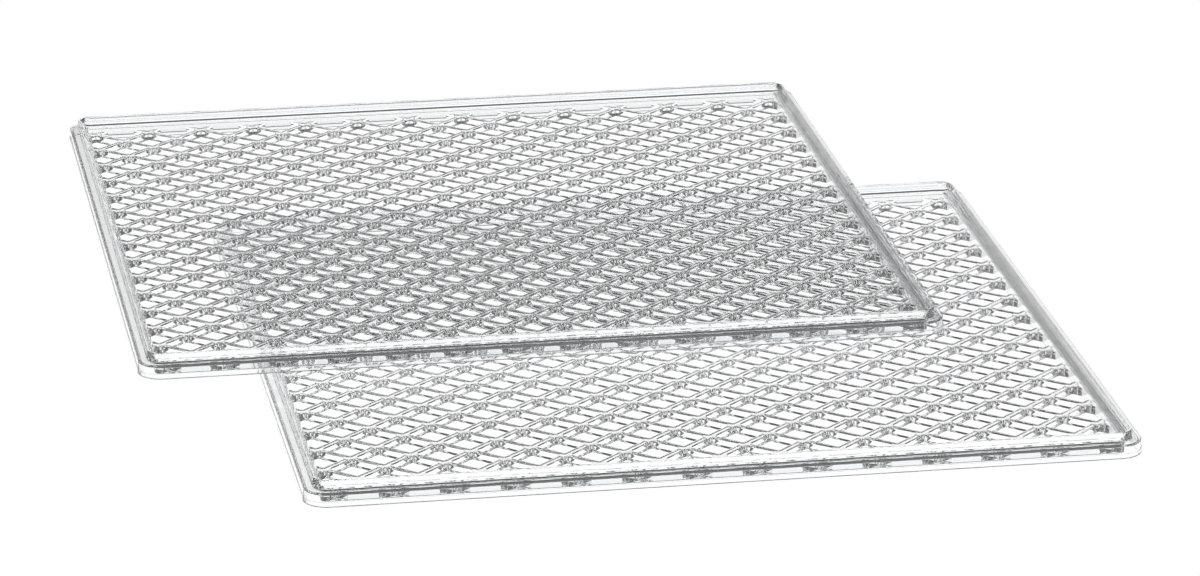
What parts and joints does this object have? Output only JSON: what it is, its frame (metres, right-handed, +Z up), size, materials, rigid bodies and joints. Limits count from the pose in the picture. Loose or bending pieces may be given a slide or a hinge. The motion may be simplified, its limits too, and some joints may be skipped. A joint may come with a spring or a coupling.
{
  "type": "food dehydrator trays",
  "caption": "Pair of clear plastic drying trays, each a flat diamond lattice in a stepped rim, the upper one resting askew on the lower one's lip.",
  "frame": {"origin": "middle of the pair's footprint, on the face the lower tray rests on", "axes": "+X across the width towards the lower tray's side, +Y along the depth towards the overhanging upper tray, +Z up"},
  "size_m": [0.438, 0.527, 0.022],
  "materials": {
    "clear_plastic": "clear colourless, moulded gloss"
  },
  "bodies": {
    "lower_tray": {"lower_rim_front": "clear_plastic", "lower_rim_back": "clear_plastic", "lower_rim_left": "clear_plastic", "lower_rim_right": "clear_plastic", "lower_lattice": "clear_plastic"},
    "upper_tray": {"upper_rim_front": "clear_plastic", "upper_rim_back": "clear_plastic", "upper_rim_left": "clear_plastic", "upper_rim_right": "clear_plastic", "upper_lattice": "clear_plastic"}
  },
  "joints": [
    {"name": "upper_tray_lift", "type": "slide", "parent": "lower_tray", "child": "upper_tray", "axis": [0, 0, 1], "range_m": [0, 0.12]}
  ]
}
